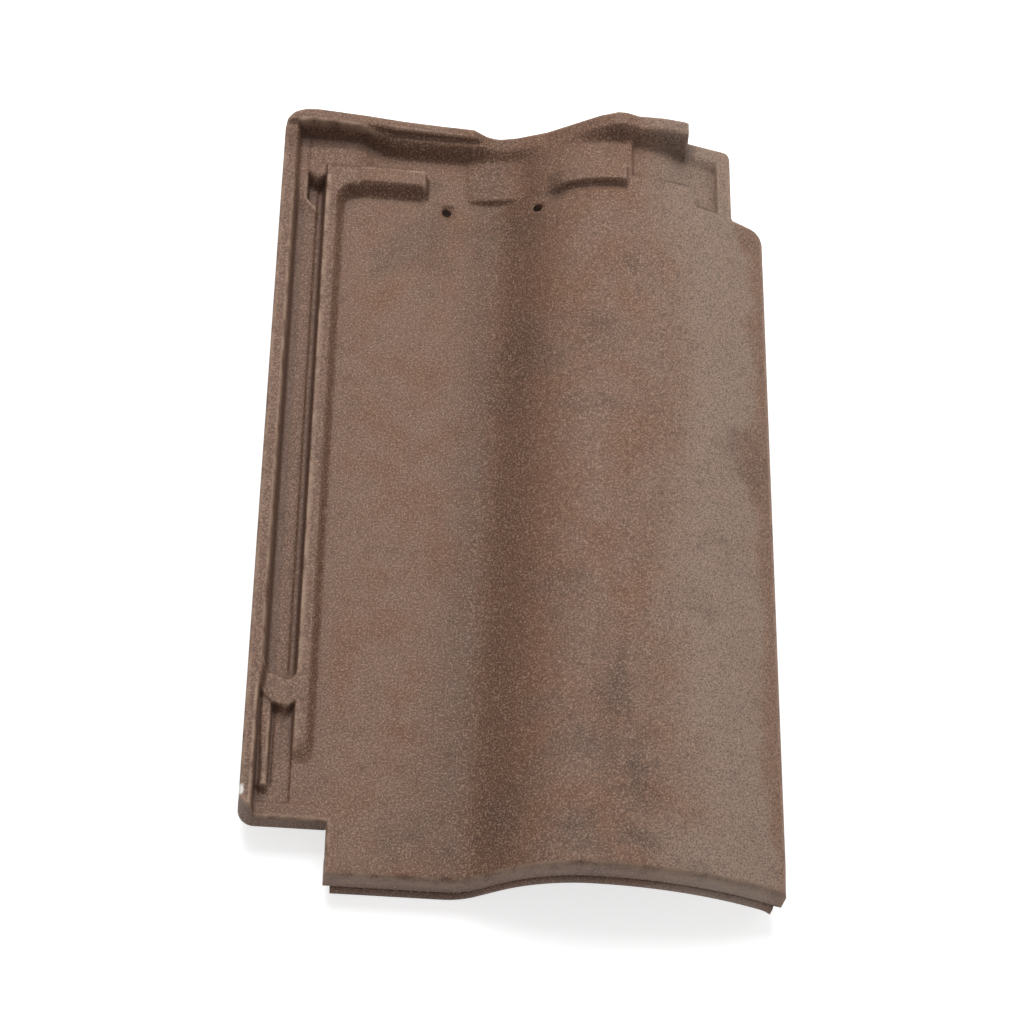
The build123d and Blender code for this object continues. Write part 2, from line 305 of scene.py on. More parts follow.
@dataclass(frozen=True)
class HeadLock:
    """Raised lock across the head: rim, end blocks, inner ribs, and a lowered lap at the right."""

    # Level of the crest, by its place across the tile
    crest: tuple[tuple[float, float], ...] = (
        # Left corner and block
        (8, 47.5), (17, 48.4), (43, 46.2), (63, 43.8), (83, 42.4), (101.5, 41.6), (108.5, 36.8),
        # Valley and near side of the roll
        (113, 35.2), (117, 35.2), (125, 37.4), (141, 45), (156, 55.5), (167, 63.2),
        # Block on the roll
        (177, 68), (182, 67.4), (188, 65.4), (202, 65.4), (213, 63.8), (217, 62),
    )
    rim_foot: float = 413.5
    rim_foot_shift: float = 5.0
    rim_top: float = 420.8
    ledge_level: float = 37.0

    # Lens-shaped step in the valley
    lens_rise: float = 3.8
    lens_middle: float = 113.5
    lens_half_width: float = 15.0

    pan_rib_level: float = 35.2
    hollow_depth: float = 3.2
    hollow_x: float = 144.0
    hollow_y: float = 384.0
    hollow_half_width: float = 5.5
    hollow_half_length: float = 4.2
    roll_rib_rise: float = 4.4
    roll_groove_depth: float = 0.9

    cover_head: float = 381.0
    cover_edge_y: float = 394.0
    cover_setback: float = 11.6
    floor_drop: float = 3.5

    lap_right: float = 242.0
    lap_drop: float = 10.0
    lap_rim_level: float = 39.0
    lap_rim_slope: float = 0.26

    def cover_edge(self, x: Grid) -> Grid:
        """Place along y of the cover's head edge, which steps back beside the lap."""
        return self.cover_edge_y - self.cover_setback * ramp(x, 218.6, 220.2)

    def inner(self, x: Grid, y: Grid, z: Grid, lock: SideLock) -> Grid:
        """Height with the parts on the tail side of the rim.

        They are the lens, the corner floor, the rib on the pan with its walls as two smooth steps
        along y, the hollow at the end of the rib on the roll, that rib, and the floor beyond the cover.
        The hollow is its depth times the exponential of minus the squared distance from its centre.
        """
        beside_lock = x >= lock.pan_left
        lens = np.maximum(1 - ((x - self.lens_middle) / self.lens_half_width) ** 2, 0)
        corner = lock.past_ribs(y) * lock.corner_share(x) * beside_lock
        z = z + self.lens_rise * lens * ramp(y, 388.4, 390.2) + (lock.corner_level - z) * corner
        pan_rib = ramp(y, 386.8, 393.5) * ramp(y, 403.1, 401.5)
        pan_rib = pan_rib * beside_lock * ramp(x, 79.4, 76.0)
        z = z + (self.pan_rib_level - z) * pan_rib * (z < self.pan_rib_level)

        hollow_x = (x - self.hollow_x) / self.hollow_half_width
        hollow_y = (y - self.hollow_y) / self.hollow_half_length
        z = z - self.hollow_depth * np.exp(-(hollow_x**2) - hollow_y**2)
        on_roll = ramp(x, 142, 148) * ramp(x, 182.5, 181.5)
        z = z + self.roll_rib_rise * ramp(y, 386.0, 388.4) * ramp(y, 399.5, 397.0) * on_roll
        z = z - self.roll_groove_depth * band(y, 384.6, 385.8, 1.2) * on_roll

        low = ramp(y - self.cover_edge(x), -0.2, 1.2) * ramp(x, 184.8, 186.4)
        drop = self.floor_drop + (self.lap_drop - self.floor_drop) * ramp(x, 196, 226)
        return z - drop * low

    def height(self, x: Grid, y: Grid, z: Grid, lock: SideLock) -> Grid:
        """Height of the upper face with the head lock laid over it.

        The rim rises by one smooth step along y to a ledge or to the crest, and a ledge by another.
        The crest runs straight between its named places. Beside the lap, smooth steps towards the
        right edge and towards the head raise the floor to the lap's rim.

        Args:
            x, y: places across and along the tile.
            z: heights of the face without the head lock.
            lock: the side lock.

        Returns:
            Heights with the head lock.
        """
        z = self.inner(x, y, z, lock)
        crest = np.interp(x, *zip(*self.crest))
        two_steps = ramp(x, 38, 62) * ramp(x, 109, 104)
        ledge = crest + (self.ledge_level - crest) * two_steps
        rim_foot = self.rim_foot + self.rim_foot_shift * ramp(x, 62, 40)
        on_wave = ramp(x, 217.4, 215.4)
        z = z + (ledge - z) * ramp(y, rim_foot, self.rim_top) * on_wave
        z = z + (crest - z) * ramp(y - self.rim_top, 0.2, 1.8) * on_wave

        side = ramp(x, 232.8, 234.4) * ramp(y - self.cover_head, 0.8, 2.2)
        head = ramp(y, 413.5, 420) * (1 - on_wave)
        rim_level = self.lap_rim_level + self.lap_rim_slope * (self.lap_right - x)
        return z + (rim_level - z) * np.maximum(side, head)


@dataclass(frozen=True)
class NailHole:
    """A round hole through the shell in a shallow dish, at a place on the upper face."""

    x: float
    y: float
    radius: float = 2.5
    dish_radius: float = 4.6
    dish_depth: float = 1.9
    dish_shift: float = 1.0

    def distance(self, x: Grid, y: Grid) -> Grid:
        """Distance from the hole's axis."""
        return np.hypot(x - self.x, y - self.y)

    def dish(self, x: Grid, y: Grid) -> Grid:
        """Depth of the dish: its full depth inside, rising smoothly to nought at its edge."""
        return self.dish_depth * ramp(self.distance(x - self.dish_shift, y), self.dish_radius, self.radius)

    def round(self, x: Grid, y: Grid) -> tuple[Grid, Grid]:
        """Draw the grid round the hole into rings.

        With m the larger of the two distances along x and y, a place within one radius is moved to
        the circle of radius m, and the move fades to nothing at three radii.

        Args:
            x, y: places across and along the tile.

        Returns:
            The moved places, x and then y.
        """
        u, v = x - self.x, y - self.y
        m = np.maximum(np.abs(u), np.abs(v))
        length = np.maximum(np.hypot(u, v), 1e-9)
        share = (m / length) ** ramp(m, 3 * self.radius, self.radius)
        share = np.where(m > 0, share, 1.0)
        return self.x + u * share, self.y + v * share

    def inside(self, x: Grid, y: Grid) -> Grid:
        """True for cell centres within the square that becomes the hole."""
        return np.maximum(np.abs(x - self.x), np.abs(y - self.y)) < self.radius


@dataclass(frozen=True)
class Corner:
    """A rounded corner of the plan outline; the signs say on which side the tile lies."""

    x: float
    y: float
    toward_x: int
    toward_y: int
    radius: float

    def round(self, x: Grid, y: Grid) -> tuple[Grid, Grid]:
        """Map the corner square to a quarter disc.

        With u and v the shares of the way from the arc's centre towards the corner, u becomes u
        times the root of one minus half v squared, and v likewise.

        Args:
            x, y: places across and along the tile.

        Returns:
            The moved places, x and then y.
        """
        centre_x = self.x + self.toward_x * self.radius
        centre_y = self.y + self.toward_y * self.radius
        u = -(x - centre_x) * self.toward_x / self.radius
        v = -(y - centre_y) * self.toward_y / self.radius
        near = (u > 0) & (v > 0) & (u <= 1.0001) & (v <= 1.0001)
        round_u = np.where(near, u * np.sqrt(np.maximum(1 - v**2 / 2, 0)), u)
        round_v = np.where(near, v * np.sqrt(np.maximum(1 - u**2 / 2, 0)), v)
        return (
            centre_x - self.toward_x * round_u * self.radius,
            centre_y - self.toward_y * round_v * self.radius,
        )


@dataclass(frozen=True)
class Underside:
    """The lower face: shell, tail nose, hanging nibs, sealing rib, cross rib and lap."""

    shell: float = 10.0
    nose_thickness: float = 12.0
    nose_depth: float = 26.0
    flap_level: float = 27.0
    lap_drop: float = 6.3
    seal_rib_x: float = 231.5
    cross_rib_depth: float = 6.0
    nib_places: tuple[float, float] = (66.0, 200.0)

    def nose(self, y: Grid) -> Grid:
        """Share of the tail nose at each place along the tile."""
        return ramp(y - self.nose_thickness, 0.9, 0.0)

    def height(self, x: Grid, y: Grid, wave: Wave, lock: SideLock, head: HeadLock) -> Grid:
        """Height of the lower face.

        The waved face set off by the shell, with smooth steps to the level flap edge, the lap and
        the side lock, and down to the nose, the nibs and the ribs.

        Args:
            x, y: places across and along the tile.
            wave: the waved section.
            lock: the side lock.
            head: the head lock.

        Returns:
            Heights of the lower face at those places.
        """
        z = wave.surface(x, y, -self.shell)
        past_cover = ramp(y - head.cover_head, -1, 1)
        z = z - self.lap_drop * past_cover * ramp(x, 215, 217)
        from_seal = x - self.seal_rib_x
        cross = band(y, 330, 339, 1.2) * ramp(x, 42, 44) * ramp(from_seal, 0, -2)
        z = z - self.cross_rib_depth * cross
        flap = ramp(from_seal, 0, 3) * (1 - past_cover)
        z = z + (self.flap_level - z) * flap * (z < self.flap_level)
        z = z + (self.flap_level - z) * band(from_seal, -2.5, 2.5, 0.8) * (1 - past_cover)
        beside_pan = ramp(x - lock.pan_left, 0.6, -0.6)
        z = z + (lock.underside - z) * beside_pan
        for nib_x in self.nib_places:
            z = z * (1 - band(x - nib_x, -15, 15, 1) * ramp(y, 390.2, 391) * ramp(y, 408, 402))
        nose = wave.surface(x, y) - self.nose_depth
        return z + (nose - z) * self.nose(y) * (1 - beside_pan)


@dataclass(frozen=True)
class NodeSpec:
    """A shader node to add: its type, what feeds its inputs by name or number, and its settings."""

    kind: str
    inputs: dict[str | int, object] = field(default_factory=dict)
    settings: dict[str, str] = field(default_factory=dict)


def add_node(tree: bpy.types.NodeTree, spec: NodeSpec) -> bpy.types.Node:
    """Add a node with its settings, set its inputs and link what feeds them.

    Args:
        tree: node tree that takes the node.
        spec: the node's type, settings and inputs; an input's value is a socket or a constant.

    Returns:
        The new node.
    """
    node = tree.nodes.new(spec.kind)
    for name, value in spec.settings.items():
        setattr(node, name, value)
    for name, value in spec.inputs.items():
        if isinstance(value, bpy.types.NodeSocket):
            tree.links.new(value, node.inputs[name])
        else:
            node.inputs[name].default_value = value
    return node


class Source(Enum):
    """What a layer of the engobe follows: the place across the tile, a noise or a mark of the skin."""

    ACROSS = "across"
    CLOUD = "cloud"
    PATCH = "patch"
    MOTTLE = "mottle"
    GRIT = "grit"
    STEEP_SHADE = "steep"
    VALLEY_SHADE = "valley"
    SMUDGE_AND_SHADE = "smudge_and_shade"
    EDGE_HIGHLIGHT = "edge"
    LOCK = "lock"
    CREASE_SHADE = "crease"
    CHIP = "chip"


MARKS = (
    Source.STEEP_SHADE, Source.VALLEY_SHADE, Source.SMUDGE_AND_SHADE, Source.EDGE_HIGHLIGHT, Source.LOCK, Source.CREASE_SHADE, Source.CHIP,
)


class Rise(Enum):
    """How a share grows between its two ends."""

    STRAIGHT = "LINEAR"
    SMOOTH = "SMOOTHSTEP"


@dataclass(frozen=True)
class Noise:
    """A noise of the finish: the width of its features in millimetres, its detail and roughness."""

    source: Source
    size: float
    detail: float
    rough: float


@dataclass(frozen=True)
class Share:
    """How much of a layer shows: nothing where its source is low, all of it where that is high."""

    source: Source
    low: float = 0.0
    high: float = 1.0
    rise: Rise = Rise.STRAIGHT


def smooth(source: Source, low: float, high: float) -> Share:
    """Share that grows smoothly as its source goes from low to high."""
    return Share(source, low, high, Rise.SMOOTH)


def smooth_across(start: float, end: float) -> Share:
    """Share that grows smoothly across the tile, in millimetres from its middle."""
    return smooth(Source.ACROSS, start * MM, end * MM)


@dataclass(frozen=True)
class Layer:
    """A colour laid over the ones before it: its strength times its shares."""

    colour: str
    strength: float
    shares: tuple[Share, ...]


@dataclass(frozen=True)
class EngobedClay:
    """Pressed clay fired with a sprayed brown engobe: matt, sandy to the eye, uneven in tone.

    The engobe dries in a mottled film, more orange where it lies thin in the valley and on the
    ribs, and darker in spots from the kiln. Over it lie painted light and shade: a grey on the roll's
    far side that is part spray tone and part painted sheen, painted shade in the valley, on steep
    faces, in creases and in two spots, and painted highlights on edges and ridges.
    """

    base: str = "#7A5D4C"
    warm: str = "#765039"
    # Greyer spray tone, also standing in for a painted sheen on the roll's far side
    grey: str = "#948072"
    dark: str = "#4C3B32"
    lock: str = "#76594A"
    # Colour of painted shade on steep faces
    wall: str = "#614435"
    # Light flecks of the grain, also the colour of painted highlights on edges and ridges
    fleck_and_highlight: str = "#B09480"
    pit: str = "#3F332C"
    chip: str = "#F3EDE6"
    noises: tuple[Noise, ...] = (
        Noise(Source.CLOUD, 55.0, 3.0, 0.55),
        Noise(Source.PATCH, 24.75, 4.0, 0.55),
        Noise(Source.MOTTLE, 9.0, 5.0, 0.6),
        # The grit is drawn near a millimetre wide, a little coarser than sand, so that it shows
        Noise(Source.GRIT, 0.9, 2.0, 0.7),
    )
    drift: float = 60.0
    roughness: float = 0.62
    unevenness: float = 0.25
    ior: float = 1.5
    gloss: float = 0.3
    mottle_relief: float = 0.8
    bump_strength: float = 0.55
    bump_height: float = 0.35

    @property
    def layers(self) -> tuple[Layer, ...]:
        """The colours over the base, from the first to the last laid."""
        return (
            # Thin warm film in patches, in the valley, and beside the flap's edge
            Layer(self.warm, 0.7, (smooth(Source.PATCH, 0.42, 0.66),)),
            Layer(self.warm, 0.7, (smooth_across(-34, -12), smooth_across(30, 2))),
            # Grey on the roll's far side: part spray tone, part painted sheen
            Layer(self.grey, 0.75, (smooth_across(50, 92),)),
            Layer(self.warm, 0.6, (smooth_across(116, 127),)),
            # Painted shade in the valley beside the roll's foot, a redder tone in the lock, and painted shade
            # on steep sides, fading out on the right
            Layer(self.dark, 0.42, (Share(Source.VALLEY_SHADE),)),
            Layer(self.lock, 0.8, (Share(Source.LOCK),)),
            Layer(self.wall, 1.0, (Share(Source.STEEP_SHADE), smooth_across(74, 40))),
            # Mottling, clouds and dark spots of the kiln, with painted shade at the pan rib's end and in the
            # hollow at the roll rib's end
            Layer(self.dark, 0.30, (smooth(Source.MOTTLE, 0.54, 0.74),)),
            Layer(self.dark, 0.38, (smooth(Source.CLOUD, 0.55, 0.70),)),
            Layer(self.dark, 1.0, (Share(Source.SMUDGE_AND_SHADE), smooth(Source.MOTTLE, 0.36, 0.56))),
            # Sandy grain, painted highlights on edges and ridges, painted shade in creases and along the
            # cover's edge, and the chip
            Layer(self.pit, 0.62, (smooth(Source.GRIT, 0.51, 0.65),)),
            Layer(self.fleck_and_highlight, 0.58, (smooth(Source.GRIT, 0.49, 0.35),)),
            Layer(self.fleck_and_highlight, 0.8, (Share(Source.EDGE_HIGHLIGHT), smooth(Source.MOTTLE, 0.28, 0.66))),
            Layer(self.dark, 0.6, (Share(Source.CREASE_SHADE),)),
            Layer(self.chip, 1.0, (Share(Source.CHIP),)),
        )

    def sources(self, tree: bpy.types.NodeTree) -> dict[Source, bpy.types.NodeSocket]:
        """Add what the layers follow.

        The place across the tile drifts by the cloud less its middle value, times the drift.

        Args:
            tree: node tree of the material.

        Returns:
            Sockets that carry the place, the noises and the marks of the skin.
        """
        place = add_node(tree, NodeSpec("ShaderNodeTexCoord")).outputs["Object"]
        across = add_node(tree, NodeSpec("ShaderNodeSeparateXYZ", {"Vector": place})).outputs["X"]
        found = {}
        for noise in self.noises:
            inputs = {"Vector": place, "Scale": 1 / (noise.size * MM)}
            inputs |= {"Detail": noise.detail, "Roughness": noise.rough}
            found[noise.source] = add_node(tree, NodeSpec("ShaderNodeTexNoise", inputs)).outputs["Fac"]
        for mark in MARKS:
            spec = NodeSpec("ShaderNodeAttribute", settings={"attribute_name": mark.value})
            found[mark] = add_node(tree, spec).outputs["Fac"]
        reach = self.drift * MM
        inputs = {0: found[Source.CLOUD], 1: reach, 2: -reach / 2}
        shift = add_node(tree, NodeSpec("ShaderNodeMath", inputs, {"operation": "MULTIPLY_ADD"}))
        inputs = {0: across, 1: shift.outputs["Value"]}
        drifted = add_node(tree, NodeSpec("ShaderNodeMath", inputs, {"operation": "ADD"}))
        found[Source.ACROSS] = drifted.outputs["Value"]
        return found

    def build(self) -> bpy.types.Material:
        """Make the material.

        The roughness is its middle value plus the mottle less a half, times the unevenness. The
        bump's height is the grit plus a share of the mottle.

        Returns:
            A node material that reads Object coordinates and seven marks of the skin.
        """
        # Fired brick clay under a matt engobe
        material = bpy.data.materials.new("engobed_fired_clay")
        material.use_nodes = True
        tree = material.node_tree
        sources = self.sources(tree)
        colour = linear(self.base)
        for layer in self.layers:
            amount = layer.strength
            for share in layer.shares:
                inputs = {"Value": sources[share.source], "From Min": share.low, "From Max": share.high}
                inputs |= {"To Min": 0.0, "To Max": amount}
                spec = NodeSpec("ShaderNodeMapRange", inputs, {"interpolation_type": share.rise.value})
                amount = add_node(tree, spec).outputs["Result"]
            # A colour mix has its factor at input 0, its colours at 6 and 7 and its result at output 2
            inputs = {0: amount, 6: colour, 7: linear(layer.colour)}
            colour = add_node(tree, NodeSpec("ShaderNodeMix", inputs, {"data_type": "RGBA"})).outputs[2]

        mottle = sources[Source.MOTTLE]
        multiply_add = {"operation": "MULTIPLY_ADD"}
        inputs = {0: mottle, 1: self.unevenness, 2: self.roughness - self.unevenness / 2}
        rough = add_node(tree, NodeSpec("ShaderNodeMath", inputs, multiply_add))
        inputs = {0: mottle, 1: self.mottle_relief, 2: sources[Source.GRIT]}
        relief = add_node(tree, NodeSpec("ShaderNodeMath", inputs, multiply_add))
        inputs = {"Height": relief.outputs["Value"], "Strength": self.bump_strength}
        inputs |= {"Distance": self.bump_height * MM}
        bump = add_node(tree, NodeSpec("ShaderNodeBump", inputs))
        shader = tree.nodes["Principled BSDF"]
        tree.links.new(colour, shader.inputs["Base Color"])
        tree.links.new(rough.outputs["Value"], shader.inputs["Roughness"])
        tree.links.new(bump.outputs["Normal"], shader.inputs["Normal"])
        shader.inputs["IOR"].default_value = self.ior
        shader.inputs["Specular IOR Level"].default_value = self.gloss
        return material


def knots(start: float, stop: float, step: float, *edges: tuple[float, float]) -> Grid:
    """Grid lines from start to stop at a coarse step, closer round each edge.

    Args:
        start: first line.
        stop: last line.
        step: spacing away from the edges.
        edges: pairs of a span's first and last place that take fine lines of 0.75 mm.

    Returns:
        Sorted places at least 0.3 mm apart, with the span ends kept.
    """
    fine_step, room = 0.75, 0.35
    coarse = np.linspace(start, stop, max(int(round((stop - start) / step)), 1) + 1)
    fixed = [start, stop]
    fine = [coarse]
    for low, high in edges:
        fine.append(np.linspace(low, high, max(int(round((high - low) / fine_step)), 1) + 1))
        fixed += [low, high]
    fixed = np.unique(np.round(fixed, 4))
    others = np.unique(np.round(np.concatenate(fine), 4))
    clear = np.abs(others[:, None] - fixed[None, :]).min(axis=1) > room
    lines = np.sort(np.concatenate([fixed, others[clear]]))
    keep = np.concatenate([[True], np.diff(lines) > LINE_GAP])
    return lines[keep | np.isin(lines, fixed)]


@dataclass(frozen=True)
class DarkSpot:
    """A darker spot: its place, its half widths across and along, its strength. Most come from the kiln; two
    are painted shade.
    """

    x: float
    y: float
    wide: float
    long: float
    strength: float

    def at(self, x: Grid, y: Grid) -> Grid:
        """Strength times the exponential of minus the squared distance in half widths."""
        return self.strength * np.exp(-(((x - self.x) / self.wide) ** 2) - ((y - self.y) / self.long) ** 2)


@dataclass(frozen=True)
class WearAndShading:
    """Where the engobe is chipped and spotted, and where painted shade and painted highlights lie."""

    near_reach: float = 2.0
    wide_reach: float = 6.0
    wide_share: float = 0.6
    # Band of painted shade beside the roll's foot: its shift, its width and its growth towards the tail
    valley_shift: float = 3.0
    valley_width: float = 13.0
    valley_growth: float = 9.0
    slope_step: float = 0.4
    # Share of the painted shade of steep faces given to the underside and the outer wall
    slope_below: float = 0.6
    chip_place: tuple[float, float] = (0.7, 34.2)
    chip_size: tuple[float, float] = (1.8, 3.0)
    dark_spots: tuple[DarkSpot, ...] = (
        # On the roll
        DarkSpot(177, 90, 9, 30, 0.55), DarkSpot(184, 47, 10, 22, 0.7), DarkSpot(163, 251, 14, 6, 0.5),
        DarkSpot(186, 15, 10, 8, 0.6), DarkSpot(156, 22, 12, 6, 0.4), DarkSpot(183, 336, 12, 6, 0.35),
        DarkSpot(162, 107, 12, 7, 0.5),
        # On the pan and beside the head lock; the last two are painted shade at the pan rib's right end and
        # in the hollow at the roll rib's end
        DarkSpot(120, 368, 22, 9, 0.5), DarkSpot(77, 19, 14, 12, 0.4), DarkSpot(81, 387, 3.5, 6, 0.8),
        DarkSpot(144, 386, 6, 4, 0.7),
    )


@dataclass
class TileSkin:
    """The whole surface of the tile as one closed mesh."""

    wave: Wave
    lock: SideLock = field(default_factory=SideLock)
    head: HeadLock = field(default_factory=HeadLock)
    under: Underside = field(default_factory=Underside)
    wear_and_shading: WearAndShading = field(default_factory=WearAndShading)
    holes: tuple[NailHole, ...] = (
        NailHole(89.2, 383.0),
        NailHole(136.5, 379.0, dish_radius=3.6, dish_depth=0.7),
    )
    hole_line_count: int = 7
    line_steps: tuple[float, float] = (3.0, 4.2)
    seat_depth: float = 9.0
    seat_reach: float = 1.6
    edge_radius: float = 2.6
    lower_edge_radius: float = 1.4
    groove_drop: float = 15.1
    groove_width: float = 1.4
    groove_wall: float = 0.3
    groove_depth: float = 1.4
    lip_inset: float = 3.5
    lip_reach: float = 7.7

    @property
    def corners(self) -> tuple[Corner, ...]:
        """The rounded corners of the plan."""
        w, h = self.wave.width, self.wave.length
        return (
            Corner(0, self.lock.tail, 1, 1, radius=8.0),
            Corner(0, h, 1, -1, radius=12.0),
            Corner(self.head.lap_right, h, -1, -1, radius=4.0),
            Corner(w, self.head.cover_head, -1, -1, radius=7.0),
        )

    def lines(self, axis: int) -> Grid:
        """Grid lines across or along the tile, close together where the face steps.

        Args:
            axis: nought for lines across x, one for lines along y.

        Returns:
            Places at least 0.3 mm apart, with the outline's lines and the holes' sides kept.
        """
        w, h = self.wave.width, self.wave.length
        pan_left, lap_right = self.lock.pan_left, self.head.lap_right
        tail, cover_head = self.lock.tail, self.head.cover_head
        outline = ((0, pan_left, lap_right, w), (0, tail, cover_head, h))[axis]
        spans = (
            ((0, 16), (18, 25), (28.5, 36), (40, pan_left), (pan_left, 46.5), (74.5, 80.5), (85.6, 92.8),
             (100, 110), (133.2, 140), (180, 188), (213, 223), (231, 236), (lap_right - 4, lap_right),
             (w - 4, w)),
            ((0, 4), (11, 14.5), (tail, 36), (40, 44), (49, 58), (82, 110), (329, 331), (338, 340),
             (374, cover_head), (cover_head, 406), (412, h)),
        )[axis]
        # Lines through each hole, the outer two on the sides of its square
        holes = [
            (hole.x, hole.y)[axis] + np.linspace(-hole.radius, hole.radius, self.hole_line_count)
            for hole in self.holes
        ]
        kept = np.unique(np.round(np.concatenate([outline, *holes]), 4))
        lines = np.unique(np.round(knots(0, outline[-1], self.line_steps[axis], *spans), 4))
        clear = np.abs(lines[:, None] - kept[None, :]).min(axis=1) > LINE_GAP
        return np.sort(np.concatenate([kept, lines[clear]]))

    def border(self, x: Grid, y: Grid) -> Grid:
        """Distance inside the plan outline.

        The outline is two overlapping rectangles with rounded corners. The distance inside one is
        the least distance to its sides, or inside a corner square the radius less the distance from
        the arc's centre. The larger of the two distances counts.

        Args:
            x, y: places across and along the tile.

        Returns:
            Distances from the outline.
        """
        boxes = (
            (0.0, self.lock.tail, self.head.lap_right, self.wave.length),
            (self.lock.pan_left, 0.0, self.wave.width, self.head.cover_head),
        )
        distances = []
        for x0, y0, x1, y1 in boxes:
            d = np.minimum.reduce([x - x0, x1 - x, y - y0, y1 - y])
            for c in self.corners:
                if c.x not in (x0, x1) or c.y not in (y0, y1):
                    continue
                u = c.radius - (x - c.x) * c.toward_x
                v = c.radius - (y - c.y) * c.toward_y
                d = np.where((u > 0) & (v > 0), c.radius - np.hypot(u, v), d)
            distances.append(d)
        return np.maximum(np.maximum(distances[0], distances[1]), 0)

    def top(self, x: Grid, y: Grid) -> Grid:
        """Height of the upper face, its border rounded over.

        Args:
            x, y: places across and along the tile.

        Returns:
            Heights of the upper face.
        """
        lock = self.lock.height(x, y, self.wave.pan_level)
        z = np.where(x < self.lock.pan_left, lock, self.wave.surface(x, y))
        z = self.head.height(x, y, z, self.lock)
        for hole in self.holes:
            z = z - hole.dish(x, y)
        return z - self.round_over(self.border(x, y), self.edge_radius_at(y))

    def edge_radius_at(self, y: Grid) -> Grid:
        """Radius of the rounded edge: full at the tail, half of it along the locks and the flap."""
        return self.edge_radius * (1 + ramp(y, 16, 4)) / 2

    def round_over(self, distance: Grid, radius: Grid) -> Grid:
        """Drop of a quarter-round edge: the radius less the root of its square less the rest squared."""
        rest = np.clip(radius - distance, 0, radius)
        return radius - np.sqrt(radius**2 - rest**2)

    def bottom(self, x: Grid, y: Grid) -> Grid:
        """Height of the lower face, its border rounded and its holes seated level."""
        z = self.under.height(x, y, self.wave, self.lock, self.head)
        z = z + self.round_over(self.border(x, y), np.full_like(z, self.lower_edge_radius))
        for hole in self.holes:
            here = np.array([hole.x]), np.array([hole.y])
            seat = self.wave.surface(*here)[0] - self.seat_depth
            seated = hole.distance(x, y) < self.seat_reach * hole.radius
            z = np.where(seated, np.maximum(z, seat), z)
        return z

    def lip(self, x: Grid, y: Grid) -> Grid:
        """Place across x of the lower lip: near both ends of the nose the lines close up inwards."""
        from_left = x - self.lock.pan_left
        left = self.lip_inset * np.maximum(1 - from_left / self.lip_reach, 0) * (from_left >= 0)
        right = self.lip_inset * np.maximum(1 - (self.wave.width - x) / self.lip_reach, 0)
        return x + self.under.nose(y) * (left - right)

    def kept_cells(self, xs: Grid, ys: Grid) -> Grid:
        """Mark the cells between the grid lines that lie inside the notched outline and off the holes."""
        x, y = np.meshgrid((xs[:-1] + xs[1:]) / 2, (ys[:-1] + ys[1:]) / 2)
        keep = ~((x < self.lock.pan_left) & (y < self.lock.tail))
        keep &= ~((x > self.head.lap_right) & (y > self.head.cover_head))
        for hole in self.holes:
            keep &= ~hole.inside(x, y)
        return keep

    def closed(self) -> tuple[Grid, Grid, Grid]:
        """Join the upper face, the underside and the rings of wall between them.

        Returns:
            Points in millimetres, faces of four points each, and which points lie on the upper face.
        """
        xs, ys = self.lines(0), self.lines(1)
        x, y = np.meshgrid(xs, ys)
        count = x.size
        for form in (*self.corners, *self.holes):
            x, y = form.round(x, y)
        top = np.stack([x, y, self.top(x, y)], axis=-1).reshape(-1, 3)
        bottom = np.stack([self.lip(x, y), y, self.bottom(x, y)], axis=-1).reshape(-1, 3)
        index = np.arange(count).reshape(x.shape)
        keep = self.kept_cells(xs, ys)
        a, b, c, d = index[:-1, :-1], index[:-1, 1:], index[1:, 1:], index[1:, :-1]
        upper = np.stack([a, b, c, d], axis=-1)[keep]
        lower = np.stack([a, d, c, b], axis=-1)[keep] + count

        # Border edges are those used by one kept cell only
        edges = np.concatenate([upper[:, [0, 1]], upper[:, [1, 2]], upper[:, [2, 3]], upper[:, [3, 0]]])
        key = np.sort(edges, axis=1) @ np.array([count, 1])
        _, first, uses = np.unique(key, return_index=True, return_counts=True)
        border, ends = np.unique(edges[first[uses == 1]], return_inverse=True)
        p, q = ends.reshape(-1, 2).T
        rings = self.wall_rings(top[border], bottom[border])
        ring_points = 2 * count + np.arange(len(rings) * len(border)).reshape(len(rings), -1)
        levels = [border, *ring_points, border + count]
        walls = [
            np.stack([above[q], above[p], below[p], below[q]], axis=-1)
            for above, below in zip(levels[:-1], levels[1:])
        ]
        points = np.concatenate([top, bottom, *rings])
        used, faces = np.unique(np.concatenate([upper, lower, *walls]), return_inverse=True)
        return points[used], faces.reshape(-1, 4), used < count

    def wall_rings(self, top: Grid, bottom: Grid) -> list[Grid]:
        """Rings of the outer wall between the two faces.

        Away from the nose the rings divide the wall evenly. Round the nose they follow the parting
        groove: down to the groove, in by its depth, down by its width and out to the lower lip.

        Args:
            top: border points of the upper face.
            bottom: border points of the lower face.

        Returns:
            Four rings from top to bottom.
        """
        touch = 0.01
        x, y = top[:, 0], top[:, 1]
        at_tail = y < touch
        on_side = np.minimum(np.abs(x - self.lock.pan_left), np.abs(x - self.wave.width)) < touch
        nose = (y < self.under.nose_thickness + touch) & (on_side | at_tail)
        surface = self.wave.surface(x, y)
        low = self.groove_drop + self.groove_width
        drops = (self.groove_drop, self.groove_drop + self.groove_wall, low, low + self.groove_wall)
        sources = (top, bottom, bottom, bottom)
        insets = (0.0, self.groove_depth, self.groove_depth, 0.0)
        even_shares = (0.15, 0.4, 0.65, 0.85)
        rings = []
        for source, inset, drop, share in zip(sources, insets, drops, even_shares):
            grooved = np.stack([source[:, 0], y + inset * at_tail, surface - drop], axis=-1)
            even = top + (bottom - top) * share
            rings.append(np.where(nose[:, None], grooved, even))
        return rings

    def around(self, x: Grid, y: Grid, reach: float) -> Grid:
        """Mean height of the upper face at four places beside each point."""
        beside = ((reach, 0), (-reach, 0), (0, reach), (0, -reach))
        return sum(self.top(x + dx, y + dy) for dx, dy in beside) / len(beside)

